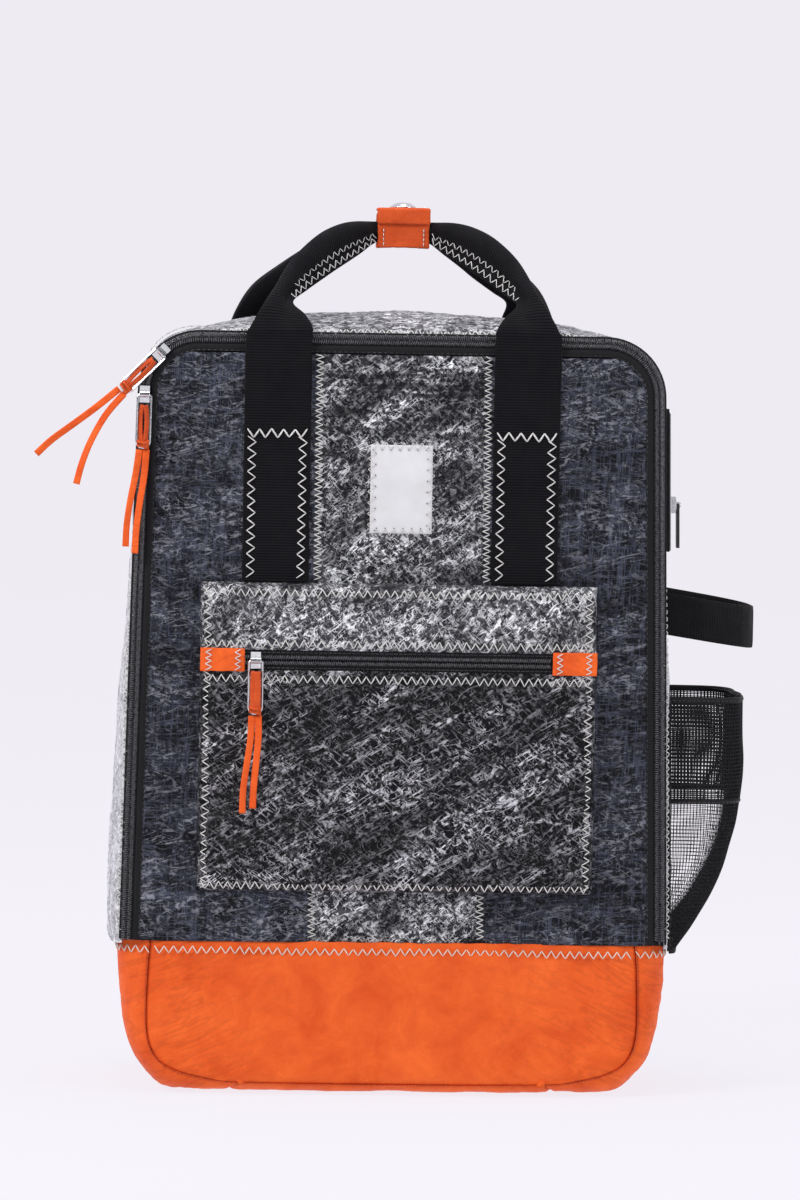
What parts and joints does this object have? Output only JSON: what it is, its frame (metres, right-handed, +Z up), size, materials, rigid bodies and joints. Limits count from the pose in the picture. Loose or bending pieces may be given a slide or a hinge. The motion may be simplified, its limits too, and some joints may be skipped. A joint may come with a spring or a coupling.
{
  "type": "daypack",
  "caption": "Zip-front daypack with a leather base, patch pocket, net bottle pocket, padded shoulder straps and paired top handles in a snapped wrap.",
  "frame": {"origin": "middle of the flat underside of the leather base", "axes": "+Z up, -Y out of the front with the patch pocket, +X towards the bottle pocket"},
  "size_m": [0.4307, 0.2193, 0.5383],
  "materials": {
    "leather": "orange nubuck, slightly scuffed",
    "sailcloth_dark": "dark laminate sailcloth, faintly glossy",
    "sailcloth_grey": "crinkled grey laminate sailcloth, glossy",
    "sailcloth_band": "light grey laminate sailcloth, glossy",
    "webbing": "matte ribbed black webbing",
    "zip_black": "black coil zip and woven tape",
    "net": "black knitted net",
    "metal": "polished silver",
    "label": "white woven label, blank",
    "plastic": "black moulded plastic",
    "pad": "black spacer mesh over foam",
    "board": "grey stiffener board"
  },
  "bodies": {
    "corner_slider": {"corner_slider": "metal"},
    "corner_pull": {"corner_ring": "metal", "corner_tail_outer": "leather", "corner_tail_inner": "leather"},
    "side_edge_slider": {"side_edge_slider": "metal"},
    "side_edge_pull": {"side_edge_ring": "metal", "side_edge_tail_outer": "leather", "side_edge_tail_inner": "leather"},
    "pocket_slider": {"pocket_slider": "metal"},
    "pocket_pull": {"pocket_ring": "metal", "pocket_tail_outer": "leather", "pocket_tail_inner": "leather"},
    "side_zip_slider": {"side_zip_slider": "metal"},
    "side_zip_pull": {"side_zip_pull": "plastic"},
    "snap_flap": {"snap_flap": "leather", "snap_cap": "metal"},
    "flap": {"flap_left": "sailcloth_dark", "flap_centre": "sailcloth_grey", "flap_right": "sailcloth_dark", "flap_binding": "webbing", "zip_tape_flap": "zip_black", "zip_coil_flap": "zip_black", "pocket_band": "sailcloth_band", "pocket_lower": "sailcloth_grey", "pocket_zip_tape": "zip_black", "pocket_zip_coil": "zip_black", "pocket_tab_left": "leather", "pocket_tab_right": "leather", "label": "label", "front_handle": "webbing", "wrap_front_half": "leather"},
    "bag": {"back_pad_left": "pad", "back_pad_right": "pad", "back_panel": "sailcloth_dark", "back_yoke": "webbing", "base_board": "board", "base_front_panel": "leather", "base_gusset": "leather", "bottle_strap": "webbing", "ladder_lock_left": "plastic", "ladder_lock_right": "plastic", "laptop_divider": "pad", "lower_webbing_left": "webbing", "lower_webbing_right": "webbing", "mesh_pocket": "net", "mesh_pocket_cuff": "net", "rear_handle": "webbing", "shoulder_strap_left": "pad", "shoulder_strap_right": "pad", "side_gusset": "sailcloth_dark", "side_zip_coil": "zip_black", "side_zip_tape": "zip_black", "snap_stud": "metal", "strap_wing_left": "sailcloth_dark", "strap_wing_right": "sailcloth_dark", "wrap_rear_half": "leather", "zip_coil_body": "zip_black", "zip_tape_body": "zip_black"}
  },
  "joints": [
    {"name": "flap_hinge", "type": "hinge", "parent": "bag", "child": "flap", "pos_m": [0, -0.0735, 0.09215], "axis": [1, 0, 0], "range_deg": [0, 95]},
    {"name": "snap_flap_hinge", "type": "hinge", "parent": "flap", "child": "snap_flap", "pos_m": [0.0018, -0.0116, 0.5248], "axis": [1, 0, 0], "range_deg": [0, 95]},
    {"name": "corner_slider_travel", "type": "hinge", "parent": "flap", "child": "corner_slider", "pos_m": [-0.12174, -0.0764, 0.422], "axis": [0, 1, 0], "range_deg": [0, 45]},
    {"name": "corner_pull_hinge", "type": "hinge", "parent": "corner_slider", "child": "corner_pull", "pos_m": [-0.14482, -0.0764, 0.44509], "axis": [-0.7071, 0, 0.7071], "range_deg": [0, 150]},
    {"name": "side_edge_slider_travel", "type": "slide", "parent": "flap", "child": "side_edge_slider", "axis": [-0.0196, 0, -0.9998], "range_m": [0, 0.31]},
    {"name": "side_edge_pull_hinge", "type": "hinge", "parent": "side_edge_slider", "child": "side_edge_pull", "pos_m": [-0.15443, -0.0764, 0.42], "axis": [-0.9998, 0, 0.0196], "range_deg": [0, 150]},
    {"name": "pocket_slider_travel", "type": "slide", "parent": "flap", "child": "pocket_slider", "axis": [1, 0, 0], "range_m": [0, 0.172]},
    {"name": "pocket_pull_hinge", "type": "hinge", "parent": "pocket_slider", "child": "pocket_pull", "pos_m": [-0.0858, -0.0866, 0.2625], "axis": [-1, 0, 0], "range_deg": [0, 150]},
    {"name": "side_zip_travel", "type": "slide", "parent": "bag", "child": "side_zip_slider", "axis": [0.0196, 0, -0.9998], "range_m": [-0.052, 0.023]},
    {"name": "side_zip_pull_hinge", "type": "hinge", "parent": "side_zip_slider", "child": "side_zip_pull", "pos_m": [0.16829, -0.052, 0.35814], "axis": [0, -1, 0], "range_deg": [0, 150]}
  ]
}
